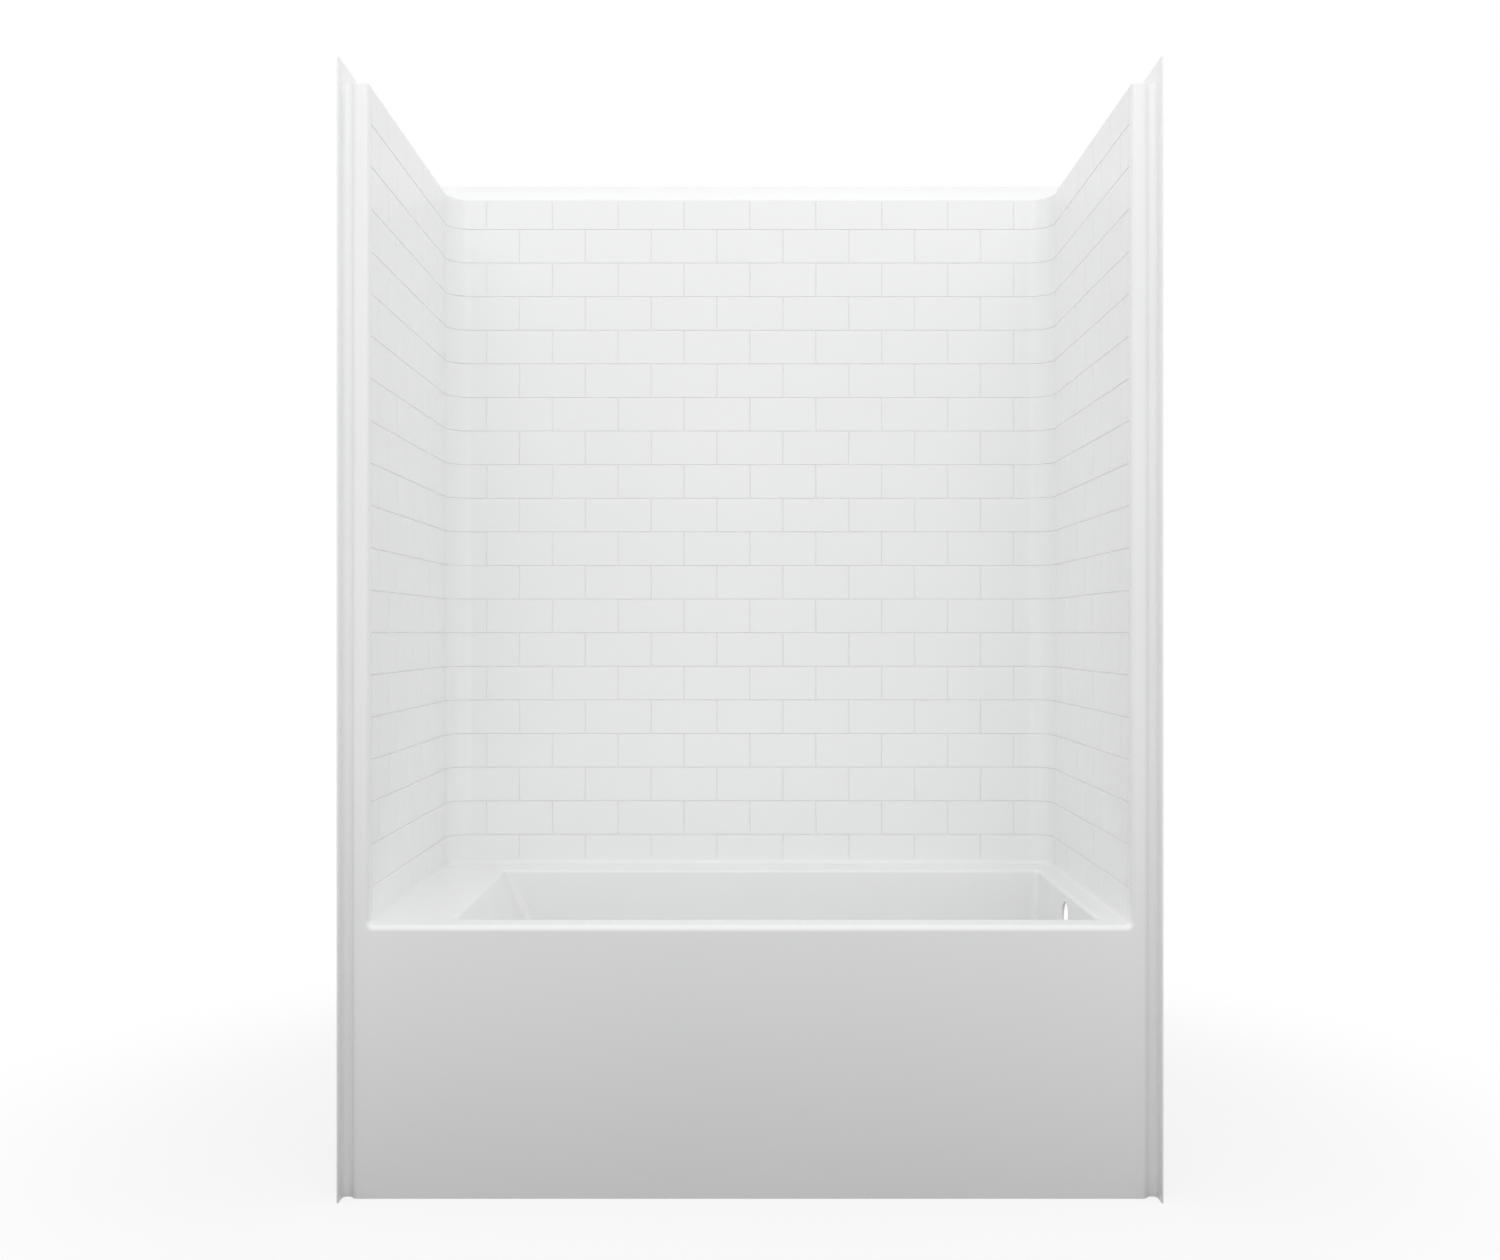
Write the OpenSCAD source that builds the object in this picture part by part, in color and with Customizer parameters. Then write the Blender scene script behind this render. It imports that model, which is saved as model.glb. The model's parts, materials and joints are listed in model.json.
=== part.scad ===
// Alcove bathtub with its shower walls, one glossy moulding with timber and boards bonded to its back.
// Sizes are in millimetres. The front faces -Y and +Z is up. Left and right are as seen from the front.
// The origin lies on the ground, midway between the side flanges and midway from front to back.

/* [Overall] */
// Width over the two side flanges, which fill the alcove
unit_w = 1524; // [1400:1:1700]
// Depth from the front edge of the side flanges to the back flange
unit_d = 845; // [780:1:950]
// Height of the flanges above the ground
unit_h = 2115; // [1900:1:2300]

/* [Moulding] */
// Thickness of the moulded sheet
shell_t = 5; // [3:0.5:7]
// Thickness of the flanges
flange_t = 3; // [2:0.5:6]
// Height of the flanges above the ledge on top of the walls
flange_rise = 38; // [20:1:60]
// Distance that the side flanges stand out in front of the columns
flange_reach = 23.5; // [18:0.5:40]
// Width of a column, from the outside of its flange to the inside of the wall
column_w = 52.5; // [45:0.5:80]
// Distance from the inside of the back wall to the outside of the back flange
back_ledge_w = 38; // [32:0.5:60]
// Radius of the front rim's rolled edge
edge_r = 12; // [8:0.5:16]
// Radius of the columns' inner edges
column_edge_r = 8; // [5:0.5:10]
// Radius of the columns' outer edges, which turn back into the hollows beside the flanges
column_outer_r = 12; // [8:0.5:14]
// Radius of the hollow between a column and its flange
flange_cove_r = 10; // [7:0.5:10]
// Depth of that hollow behind the column's face
flange_cove_depth = 12; // [10:0.5:13]
// Radius of the two back corners of the walls
wall_corner_r = 55; // [30:1:90]
// Radius of the hollow between the walls and the deck
deck_cove_r = 10; // [4:0.5:16]

/* [Tub] */
// Height of the deck above the ground
rim_h = 508; // [430:1:560]
// Width of the deck at the backrest end
left_deck_w = 150; // [110:1:220]
// Width of the deck at the drain end
right_deck_w = 48; // [40:1:120]
// Width of the front rim, from the apron's face to the basin's mouth
front_rim_w = 64; // [56:1:100]
// Width of the deck behind the basin's mouth
back_deck_w = 108; // [90:1:150]
// Corner radius of the basin's mouth
basin_corner_r = 12; // [10:1:40]
// Radius between the basin's floor and its sides
basin_floor_r = 50; // [30:1:70]
// Lean of the backrest from upright, in degrees
backrest_angle = 21.5; // [12:0.5:30]
// Lean of the drain end from upright, in degrees
end_angle = 2.5; // [1:0.5:6]
// Lean of the basin's front and back from upright, in degrees
side_angle = 3; // [1:0.5:6]

/* [Waste] */
// Diameter of the drain hole
drain_hole_d = 52; // [40:0.5:60]
// Distance from the mouth's drain end to the middle of the drain
drain_inset = 140; // [125:1:180]
// Diameter of the overflow hole
overflow_hole_d = 63.5; // [50:0.5:70]
// Depth of the middle of the overflow hole below the deck
overflow_drop = 52; // [40:1:80]

/* [Tile pattern] */
// Length of a tile, from joint to joint
tile_w = 155.575; // [120:0.025:220]
// Height of a tile, from joint to joint
tile_h = 79.375; // [60:0.025:120]
// Width of a moulded joint
joint_w = 3.2; // [2:0.1:5]
// Depth of a moulded joint
joint_depth = 1.5; // [0.5:0.1:2.2]
// Height of the lowest joint above the deck
first_joint_up = 67.4; // [30:0.1:100]
// Distance on the side walls from the back wall to the first upright joint
side_joint_start = 71.5; // [60:0.5:140]
// Width of the plain strip between a column's face and the joint that ends the side wall's tiles
side_plain_w = 24; // [16:0.5:60]

/* [Base] */
// Thickness of the board under the basin's floor
floor_board_t = 12; // [9:1:19]
// Thickness of the bearers under the floor board
bearer_t = 19; // [16:1:38]
// Width of a bearer
bearer_w = 89; // [60:1:120]
// Number of bearers
bearer_count = 4; // [3:1:5]
// Width of a floor runner
runner_w = 38; // [30:1:60]
// Height of a floor runner
runner_h = 89; // [75:1:110]
// Distance from the ends of the bearers to the floor runners
runner_inset = 60; // [30:1:100]
// Length and width of the block round the drain
drain_pad_w = 140; // [120:1:150]
// Diameter of the hole in the block, which clears the waste fitting's nut
drain_nut_hole_d = 80; // [70:1:90]
// Gap between the floor board and the block round the drain
pad_gap = 10; // [4:1:25]

/* [Stiffeners] */
// Width and height of the timber along the apron's foot, of the ribs and of the deck rails
timber_w = 38; // [30:1:42]
// Number of ribs behind the apron
rib_count = 4; // [3:1:6]
// Thickness of a wall batten
batten_t = 19; // [12:1:25]
// Height of a wall batten
batten_h = 64; // [45:1:90]
// Height of the middle of the lowest batten above the deck
batten_start = 180; // [120:1:240]
// Distance between battens, middle to middle
batten_pitch = 440; // [300:1:500]
// Thickness of the valve board
valve_board_t = 12; // [9:1:18]
// Width of the valve board
valve_board_w = 400; // [300:1:500]
// Height of the valve board's lower edge above the deck
valve_board_up = 40; // [20:1:80]
// Gap between the valve board and the batten above it
valve_board_gap = 8; // [2:1:30]

/* [Hidden] */
$fn = 96;
// A cut runs this far past the face that it starts from
cut_over = 1;
// Degrees that a round cut runs past each end of a corner
cut_over_angle = 1;
// Height of the upright lip at the top of the basin
basin_lip = 1;
// The mitres between the basin's sides reach this many times as far out as the mouth's corners
mitre_reach = 3;

// Planes of the moulding
flange_x = unit_w / 2 - flange_t;
flange_y = unit_d / 2 - flange_t;
flange_front_y = -unit_d / 2;
wall_x = unit_w / 2 - column_w;
wall_y = unit_d / 2 - back_ledge_w;
face_y = flange_front_y + flange_reach;
ledge_h = unit_h - flange_rise;
wall_top = ledge_h - shell_t;
rim_y = face_y + edge_r;
edge_z = rim_h - edge_r;
side_wall_l = wall_y - rim_y;
side_tiles_l = wall_y - face_y - side_plain_w;

// Middles of the right column's hollow and outer edge in plan, and the place where their arcs meet
cove_mid = [flange_x - flange_cove_r, face_y + flange_cove_depth - flange_cove_r];
outer_mid_y = face_y + column_outer_r;
outer_mid_x = cove_mid[0] - sqrt(pow(flange_cove_r + column_outer_r, 2) - pow(outer_mid_y - cove_mid[1], 2));
outer_mid = [outer_mid_x, outer_mid_y];
arcs_meet = (outer_mid * flange_cove_r + cove_mid * column_outer_r) / (flange_cove_r + column_outer_r);
cove_foot_y = face_y + flange_cove_depth;
column_back_y = cove_foot_y + shell_t;

// Mouth of the basin
mouth_x0 = -wall_x + left_deck_w;
mouth_x1 = wall_x - right_deck_w;
mouth_y0 = face_y + front_rim_w;
mouth_y1 = wall_y - back_deck_w;
basin_top = rim_h - shell_t;

// The base carries the basin, so its parts stack up to the height of the basin's floor
bearer_z = runner_h;
floor_board_z = bearer_z + bearer_t;
floor_z = floor_board_z + floor_board_t + shell_t;

// The basin's sides lean in from the mouth until they touch the balls in its lower corners
ball_z = floor_z + basin_floor_r;
function lean_in(angle) = (basin_top - ball_z) * tan(angle) + basin_floor_r / cos(angle);
ball_x0 = mouth_x0 + lean_in(backrest_angle);
ball_x1 = mouth_x1 - lean_in(end_angle);
ball_y0 = mouth_y0 + lean_in(side_angle);
ball_y1 = mouth_y1 - lean_in(side_angle);

// Middles of the round corners of the basin's mouth
mouth_in_x0 = mouth_x0 + basin_corner_r;
mouth_in_x1 = mouth_x1 - basin_corner_r;
mouth_in_y0 = mouth_y0 + basin_corner_r;
mouth_in_y1 = mouth_y1 - basin_corner_r;

// Waste holes, on the middle line of the basin
drain_x = mouth_x1 - drain_inset;
drain_y = (mouth_y0 + mouth_y1) / 2;
overflow_z = rim_h - overflow_drop;
overflow_x = mouth_x1 - (basin_top - overflow_z) * tan(end_angle);

// Level joints of the tile pattern, and the rows of tiles that they part
joint_count = floor((wall_top - rim_h - first_joint_up - joint_w) / tile_h) + 1;
function joint_z(i) = rim_h + first_joint_up + i * tile_h;
function row_low(row) = row == 0 ? rim_h + deck_cove_r : joint_z(row - 1);
function row_high(row) = row == joint_count ? wall_top + cut_over : joint_z(row);
// Places of a row's upright joints that fall on the flat of a wall
function row_joints(start, from, to) =
    let (first = ceil((from + joint_w - start) / tile_w), last = floor((to - joint_w - start) / tile_w))
    [for (k = [first : 1 : last]) start + k * tile_w];

// Base under the flat of the basin's floor
floor_board_x0 = ball_x0;
floor_board_x1 = drain_x - drain_pad_w / 2 - pad_gap;
floor_board_l = floor_board_x1 - floor_board_x0;
base_w = ball_y1 - ball_y0;

// Levels of the battens, each a height above the ground
batten_count = floor((wall_top - rim_h - batten_start - batten_h / 2) / batten_pitch) + 1;
batten_levels = [for (i = [0 : batten_count - 1]) rim_h + batten_start + i * batten_pitch];
upper_batten_levels = [for (i = [1 : 1 : batten_count - 1]) batten_levels[i]];

// Box between two opposite corners
module box(low, high) {
    translate(low) cube(high - low);
}

// Places a wall's own frame: x along the wall, y out through its back, z up, the face at y = 0
module on_back_wall() {
    translate([0, wall_y, 0]) children();
}
module on_right_wall() {
    translate([wall_x, wall_y, 0]) rotate([0, 0, -90]) children();
}
module on_left() {
    mirror([1, 0, 0]) children();
}

// Rectangle with round corners, between two opposite corners
module round_rectangle(low, high, r) {
    translate([low[0] + r, low[1]]) square([high[0] - low[0] - 2 * r, high[1] - low[1]]);
    translate([low[0], low[1] + r]) square([high[0] - low[0], high[1] - low[1] - 2 * r]);
    for (x = [low[0] + r, high[0] - r], y = [low[1] + r, high[1] - r])
        translate([x, y]) circle(r = r);
}

// Outline of the hollow between a face on the right and a floor below it, with its corner at the origin
module cove_outline(r) {
    translate([-r, 0]) difference() {
        square(r);
        translate([0, r]) circle(r = r);
    }
}

// Part of a circle that lies in the quarter where x and y are negative
module quarter_disc(r) {
    intersection() {
        circle(r = r);
        translate([-r, -r]) square(r);
    }
}

// The moulding's thickness along the round edge of that part
module quarter_ring(r) {
    difference() {
        quarter_disc(r);
        if (r > shell_t) circle(r = r - shell_t);
    }
}

// Ball with a point at its very bottom, so that the floor that it rolls along is at its true height
module ball(r) {
    rotate_extrude($fn = 32) intersection() {
        circle(r = r, $fn = 32);
        translate([0, -r]) square([r, 2 * r]);
    }
}

// Space inside the basin, or the basin's outer form where grow is the thickness of the moulding
module basin_form(grow, lip_low, lip_high) {
    hull() {
        for (x = [mouth_in_x0, mouth_in_x1], y = [mouth_in_y0, mouth_in_y1])
            translate([x, y, lip_low]) cylinder(r = basin_corner_r + grow, h = lip_high - lip_low, $fn = 32);
        for (x = [ball_x0, ball_x1], y = [ball_y0, ball_y1])
            translate([x, y, ball_z]) ball(basin_floor_r + grow);
    }
}

// One side of the basin with its round edge along the floor. Each end of it is a ball's place and the
// middle of the mouth's corner above that ball, and it is mitred there to the next side
module basin_side(ball_a, mouth_a, ball_b, mouth_b) {
    intersection() {
        difference() {
            basin_form(shell_t, basin_top - basin_lip, basin_top);
            basin_form(0, basin_top, basin_top + cut_over);
        }
        linear_extrude(rim_h) polygon([
            ball_a, ball_b,
            ball_b + mitre_reach * (mouth_b - ball_b), ball_a + mitre_reach * (mouth_a - ball_a)
        ]);
    }
}

// One flat tiled wall in its own frame, from one place along it to another. Its level joints run from
// the first of those places to level_to
module tiled_wall(from, to, level_to, even_start, odd_start) {
    difference() {
        box([from, 0, rim_h], [to, shell_t, wall_top]);
        for (i = [0 : joint_count - 1])
            box([from - cut_over, -cut_over, joint_z(i) - joint_w / 2],
                [level_to, joint_depth, joint_z(i) + joint_w / 2]);
        for (row = [0 : joint_count], x = row_joints(row % 2 == 0 ? even_start : odd_start, from, level_to))
            upright_joint(x, row_low(row), row_high(row));
    }
}

// Hollow along the foot of a flat wall, in the wall's own frame
module deck_cove(from, to) {
    translate([from, 0, rim_h]) rotate([90, 0, 90]) linear_extrude(to - from) cove_outline(deck_cove_r);
}

// Cutter for an upright joint, in the wall's own frame
module upright_joint(x, low, high) {
    box([x - joint_w / 2, -cut_over, low], [x + joint_w / 2, joint_depth, high]);
}

// Level battens on the back of a wall, in the wall's own frame
module wall_battens(from, to, levels) {
    for (z = levels)
        box([from, shell_t, z - batten_h / 2], [to, shell_t + batten_t, z + batten_h / 2]);
}

// Level floor of the basin with the drain hole
module basin_floor() {
    color("white") difference() {
        box([ball_x0, ball_y0, floor_z - shell_t], [ball_x1, ball_y1, floor_z]);
        translate([drain_x, drain_y, floor_z - shell_t - cut_over])
            cylinder(d = drain_hole_d, h = shell_t + 2 * cut_over);
    }
}

// Sloped end that a bather leans on
module basin_backrest() {
    color("white") basin_side(
        [ball_x0, ball_y0], [mouth_in_x0, mouth_in_y0], [ball_x0, ball_y1], [mouth_in_x0, mouth_in_y1]
    );
}

// Upright end with the overflow hole
module basin_drain_end() {
    color("white") difference() {
        basin_side(
            [ball_x1, ball_y0], [mouth_in_x1, mouth_in_y0], [ball_x1, ball_y1], [mouth_in_x1, mouth_in_y1]
        );
        translate([overflow_x, drain_y, overflow_z]) rotate([0, 90 + end_angle, 0])
            translate([0, 0, -shell_t]) cylinder(d = overflow_hole_d, h = 3 * shell_t);
    }
}

// Long sides of the basin
module basin_front() {
    color("white") basin_side(
        [ball_x0, ball_y0], [mouth_in_x0, mouth_in_y0], [ball_x1, ball_y0], [mouth_in_x1, mouth_in_y0]
    );
}
module basin_back() {
    color("white") basin_side(
        [ball_x0, ball_y1], [mouth_in_x0, mouth_in_y1], [ball_x1, ball_y1], [mouth_in_x1, mouth_in_y1]
    );
}

// Flat deck round the basin's mouth, which the walls stand on
module tub_deck() {
    color("white") translate([0, 0, basin_top]) linear_extrude(shell_t) difference() {
        translate([-wall_x - shell_t, rim_y]) square([2 * (wall_x + shell_t), wall_y + shell_t - rim_y]);
        round_rectangle([mouth_x0, mouth_y0], [mouth_x1, mouth_y1], basin_corner_r);
    }
}

// Hollows between the deck and the three flat walls
module right_deck_cove() {
    color("white") on_right_wall() deck_cove(wall_corner_r, side_wall_l);
}
module left_deck_cove() {
    on_left() right_deck_cove();
}
module back_deck_cove() {
    half_l = wall_x - wall_corner_r;
    color("white") on_back_wall() deck_cove(-half_l, half_l);
}

// Round front edge of the rim, between the deck and the apron
module rim_roll() {
    color("white") translate([-wall_x, rim_y, edge_z]) rotate([90, 0, 90]) linear_extrude(2 * wall_x)
        mirror([0, 1]) quarter_ring(edge_r);
}

// Flat front panel between the columns
module apron() {
    color("white") box([-wall_x, face_y, 0], [wall_x, face_y + shell_t, edge_z]);
}

// Open space in plan in front of the right column's outer edge and hollow
module cove_space() {
    front_y = face_y - cut_over;
    difference() {
        union() {
            translate([outer_mid[0], front_y]) square([cove_mid[0] - outer_mid[0], arcs_meet[1] - front_y]);
            translate([cove_mid[0], front_y]) square([flange_x - cove_mid[0], cove_mid[1] - front_y]);
        }
        translate(outer_mid) circle(r = column_outer_r);
    }
    translate(cove_mid) circle(r = flange_cove_r);
}

// Outline of the right column: its face, its round outer edge, and the hollow that ends at its flange
module column_outline() {
    reach = 2 * column_outer_r;
    back_r = flange_cove_r + shell_t;
    translate([wall_x, face_y]) square([outer_mid[0] - wall_x, shell_t]);
    intersection() {
        translate(outer_mid) difference() {
            circle(r = column_outer_r);
            circle(r = column_outer_r - shell_t);
        }
        polygon([
            outer_mid, outer_mid + [0, -reach], outer_mid + [reach, -reach],
            outer_mid + 2 * (arcs_meet - outer_mid)
        ]);
    }
    difference() {
        intersection() {
            translate(cove_mid) circle(r = back_r);
            translate([cove_mid[0] - back_r, cove_mid[1]]) square([back_r + flange_cove_r, back_r]);
        }
        cove_space();
    }
}

// Column beside the opening, from the ground to the ledge. Its inner edge is square beside the apron,
// and above it turns back to the wall and the end of the rim's roll
module right_column() {
    edge = [wall_x + column_edge_r, face_y + column_edge_r];
    color("white") {
        linear_extrude(edge_z) column_outline();
        translate([0, 0, edge_z]) linear_extrude(wall_top - edge_z) {
            difference() {
                column_outline();
                translate([wall_x, face_y]) square(column_edge_r);
            }
            translate(edge) quarter_ring(column_edge_r);
            translate([wall_x, edge[1]]) square([shell_t, rim_y - edge[1]]);
        }
    }
}
module left_column() {
    on_left() right_column();
}

// Side wall at the drain end, and its mirror image at the backrest end
module right_wall() {
    color("white") on_right_wall() difference() {
        tiled_wall(wall_corner_r, side_wall_l, side_tiles_l, side_joint_start, side_joint_start + tile_w / 2);
        upright_joint(side_tiles_l, rim_h + deck_cove_r, wall_top + cut_over);
    }
}
module left_wall() {
    on_left() right_wall();
}

// Back wall between the two corners
module back_wall() {
    half_l = wall_x - wall_corner_r;
    color("white") on_back_wall() tiled_wall(-half_l, half_l, half_l + cut_over, tile_w / 2, 0);
}

// Curved corner between a side wall and the back wall, with the level joints only
module right_corner() {
    color("white") translate([wall_x - wall_corner_r, wall_y - wall_corner_r, 0]) difference() {
        rotate_extrude(angle = 90) {
            translate([wall_corner_r, rim_h]) square([shell_t, wall_top - rim_h]);
            translate([wall_corner_r, rim_h]) cove_outline(deck_cove_r);
        }
        for (i = [0 : joint_count - 1])
            rotate([0, 0, -cut_over_angle]) rotate_extrude(angle = 90 + 2 * cut_over_angle)
                translate([wall_corner_r - cut_over, joint_z(i) - joint_w / 2])
                    square([cut_over + joint_depth, joint_w]);
    }
}
module left_corner() {
    on_left() right_corner();
}

// Flat ledge on top of a side wall and its column, rounded at the front like the column
module right_ledge() {
    edge = [wall_x + column_edge_r, face_y + column_edge_r];
    color("white") translate([0, 0, wall_top]) linear_extrude(shell_t) {
        difference() {
            translate([edge[0], face_y]) square([flange_x - edge[0], wall_y - wall_corner_r - face_y]);
            cove_space();
        }
        translate([wall_x, edge[1]]) square([column_edge_r, wall_y - wall_corner_r - edge[1]]);
        translate(edge) quarter_disc(column_edge_r);
    }
}
module left_ledge() {
    on_left() right_ledge();
}

// Flat ledge on top of the back wall and the two corners
module back_ledge() {
    corner_x = wall_x - wall_corner_r;
    corner_y = wall_y - wall_corner_r;
    color("white") translate([0, 0, wall_top]) linear_extrude(shell_t) difference() {
        translate([-flange_x, corner_y]) square([2 * flange_x, flange_y - corner_y]);
        translate([-corner_x, corner_y - cut_over]) square([2 * corner_x, wall_corner_r + cut_over]);
        for (x = [-corner_x, corner_x])
            translate([x, corner_y]) circle(r = wall_corner_r);
    }
}

// Flange that stands out in front of a column
module right_front_flange() {
    color("white") box([flange_x, flange_front_y, 0], [unit_w / 2, cove_foot_y, wall_top]);
}
module left_front_flange() {
    on_left() right_front_flange();
}

// Flanges that stand up behind the ledge
module right_top_flange() {
    color("white") box([flange_x, flange_front_y, wall_top], [unit_w / 2, unit_d / 2, unit_h]);
}
module left_top_flange() {
    on_left() right_top_flange();
}
module back_top_flange() {
    color("white") box([-flange_x, flange_y, wall_top], [flange_x, unit_d / 2, unit_h]);
}

// Board bonded under the flat of the basin's floor, short of the drain
module floor_board() {
    color("burlywood")
        box([floor_board_x0, ball_y0, floor_board_z], [floor_board_x1, ball_y1, floor_board_z + floor_board_t]);
}

// Boards across the unit, between the floor board and the runners
module cross_bearers() {
    pitch = (floor_board_l - bearer_w) / (bearer_count - 1);
    color("tan") for (i = [0 : bearer_count - 1])
        translate([floor_board_x0 + i * pitch, ball_y0, bearer_z]) cube([bearer_w, base_w, bearer_t]);
}

// Timbers that stand on the ground
module floor_runners() {
    color("tan") for (y = [ball_y0 + runner_inset, ball_y1 - runner_inset - runner_w])
        translate([floor_board_x0, y, 0]) cube([floor_board_l, runner_w, runner_h]);
}

// Block bonded round the drain hole
module drain_pad() {
    color("burlywood") translate([drain_x, drain_y, floor_board_z]) difference() {
        translate([-drain_pad_w / 2, -drain_pad_w / 2, 0]) cube([drain_pad_w, drain_pad_w, floor_board_t]);
        translate([0, 0, -cut_over]) cylinder(d = drain_nut_hole_d, h = floor_board_t + 2 * cut_over);
    }
}

// Timber along the foot of the apron
module apron_sill() {
    back_y = face_y + shell_t;
    color("tan") box([-wall_x, back_y, 0], [wall_x, back_y + timber_w, timber_w]);
}

// Upright ribs behind the apron, standing on the sill
module apron_ribs() {
    back_y = face_y + shell_t;
    pitch = 2 * wall_x / rib_count;
    color("tan") for (i = [0 : rib_count - 1])
        translate([-wall_x + (i + 0.5) * pitch - timber_w / 2, back_y, timber_w])
            cube([timber_w, timber_w, edge_z - timber_w]);
}

// Timbers under the deck, behind the basin and beside the backrest
module back_deck_rail() {
    y = (mouth_y1 + wall_y + 2 * shell_t) / 2;
    color("tan")
        box([mouth_x0, y - timber_w / 2, basin_top - timber_w], [mouth_x1, y + timber_w / 2, basin_top]);
}
module left_deck_rail() {
    x = (mouth_x0 - wall_x - 2 * shell_t) / 2;
    color("tan")
        box([x - timber_w / 2, mouth_y0, basin_top - timber_w], [x + timber_w / 2, mouth_y1, basin_top]);
}

// Battens on the backs of the walls. The valve board takes the place of the lowest one on the right
module back_wall_battens() {
    half_l = wall_x - wall_corner_r;
    color("tan") on_back_wall() wall_battens(-half_l, half_l, batten_levels);
}
module right_wall_battens() {
    color("tan") on_right_wall() wall_battens(wall_corner_r, wall_y - column_back_y, upper_batten_levels);
}
module left_wall_battens() {
    color("tan") on_left() on_right_wall() wall_battens(wall_corner_r, wall_y - column_back_y, batten_levels);
}

// Board behind the right wall that takes the valve and the spout, above the drain's line
module valve_board() {
    middle = wall_y - drain_y;
    top_z = batten_levels[1] - batten_h / 2 - valve_board_gap;
    color("burlywood") on_right_wall()
        box([middle - valve_board_w / 2, shell_t, rim_h + valve_board_up],
            [middle + valve_board_w / 2, shell_t + valve_board_t, top_z]);
}

basin_floor();
basin_backrest();
basin_drain_end();
basin_front();
basin_back();
tub_deck();
left_deck_cove();
right_deck_cove();
back_deck_cove();
rim_roll();
apron();
left_column();
right_column();
left_wall();
right_wall();
back_wall();
left_corner();
right_corner();
left_ledge();
right_ledge();
back_ledge();
left_front_flange();
right_front_flange();
left_top_flange();
right_top_flange();
back_top_flange();
floor_board();
cross_bearers();
floor_runners();
drain_pad();
apron_sill();
apron_ribs();
back_deck_rail();
left_deck_rail();
back_wall_battens();
left_wall_battens();
right_wall_battens();
valve_board();
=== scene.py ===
import json
import math

import bpy
import numpy as np
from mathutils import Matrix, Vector
from mathutils.geometry import delaunay_2d_cdt


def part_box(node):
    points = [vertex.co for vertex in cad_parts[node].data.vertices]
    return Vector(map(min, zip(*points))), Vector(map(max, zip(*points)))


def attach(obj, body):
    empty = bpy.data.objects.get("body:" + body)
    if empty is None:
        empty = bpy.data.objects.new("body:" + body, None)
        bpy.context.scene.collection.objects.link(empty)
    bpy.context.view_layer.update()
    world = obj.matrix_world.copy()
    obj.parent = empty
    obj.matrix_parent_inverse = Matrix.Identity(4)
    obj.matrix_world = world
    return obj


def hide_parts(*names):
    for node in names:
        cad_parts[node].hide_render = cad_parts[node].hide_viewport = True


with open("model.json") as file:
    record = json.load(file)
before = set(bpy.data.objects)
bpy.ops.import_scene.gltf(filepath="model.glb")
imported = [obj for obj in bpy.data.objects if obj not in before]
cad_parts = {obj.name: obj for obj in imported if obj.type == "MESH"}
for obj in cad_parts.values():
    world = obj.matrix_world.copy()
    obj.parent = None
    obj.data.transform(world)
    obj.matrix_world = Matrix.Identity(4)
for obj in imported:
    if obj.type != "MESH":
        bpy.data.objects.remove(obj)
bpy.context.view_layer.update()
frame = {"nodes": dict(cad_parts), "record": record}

# Planes and sizes that the frame gives, in metres
DECK_LOW, DECK_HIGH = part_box("tub_deck")
APRON_LOW, APRON_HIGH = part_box("apron")
FLOOR_LOW, FLOOR_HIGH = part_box("basin_floor")
SIDE_FLANGE_LOW, SIDE_FLANGE_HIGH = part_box("right_top_flange")
FRONT_FLANGE_LOW, FRONT_FLANGE_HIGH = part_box("right_front_flange")
BACK_FLANGE_LOW, BACK_FLANGE_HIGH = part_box("back_top_flange")


def tidy(value):
    """A length of the frame without the rounding noise of its file."""
    return round(float(value), 6)


SHELL_T = tidy(DECK_HIGH.z - DECK_LOW.z)
FLANGE_T = tidy(SIDE_FLANGE_HIGH.x - SIDE_FLANGE_LOW.x)
WALL_X = tidy(APRON_HIGH.x)
FACE_Y = tidy(APRON_LOW.y)
RIM_Y = tidy(DECK_LOW.y)
RIM_Z = tidy(DECK_HIGH.z)
WALL_Y = tidy(DECK_HIGH.y) - SHELL_T
ROLL_R = RIM_Y - FACE_Y
CORNER_R = WALL_X - tidy(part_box("back_wall")[1].x)
COVE_R = WALL_Y - tidy(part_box("back_deck_cove")[0].y)
LEDGE_Z = tidy(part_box("back_ledge")[1].z)
FLANGE_X = tidy(SIDE_FLANGE_LOW.x)
FLANGE_Y = tidy(BACK_FLANGE_LOW.y)
FLANGE_FRONT_Y = tidy(SIDE_FLANGE_LOW.y)
FLANGE_FOOT_Y = tidy(FRONT_FLANGE_HIGH.y)
FLANGE_FOOT_Z = tidy(SIDE_FLANGE_LOW.z)
TOP_Z = tidy(SIDE_FLANGE_HIGH.z)

MOUTH_X = (tidy(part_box("basin_backrest")[0].x) + SHELL_T,
           tidy(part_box("basin_drain_end")[1].x) - SHELL_T)
MOUTH_Y = (tidy(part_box("basin_front")[0].y) + SHELL_T,
           tidy(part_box("basin_back")[1].y) - SHELL_T)
BASIN_TOP_Z = tidy(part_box("basin_front")[1].z)
FLOOR_X = (tidy(FLOOR_LOW.x), tidy(FLOOR_HIGH.x))
FLOOR_Y = (tidy(FLOOR_LOW.y), tidy(FLOOR_HIGH.y))
FLOOR_Z = tidy(FLOOR_HIGH.z)
MOUNTS = {mount["name"]: mount for mount in frame["record"]["mounts"]}

# Radii that the solids have too
MOUTH_CORNER_R = 0.012
FLOOR_R = 0.050
COLUMN_EDGE_R = 0.008
HOLLOW_R = 0.010
HOLLOW_DEPTH = 0.012
HOLLOW_EDGE_R = 0.012

# Soft edges that the solids leave sharp
MOUTH_EDGE_R = 0.008
TOP_EDGE_R = 0.005
FLANGE_CORNER_R = 0.004

# Least distance at which two points are apart, and the number of grid cells in a metre for joining them
NEAR = 1e-7
WELD_CELLS = 1e5

# Tile pattern
TILE_W = 0.155575
TILE_H = 0.079375
JOINT_DEPTH = 0.0023
JOINT_HALF_W = 0.0017
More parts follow.
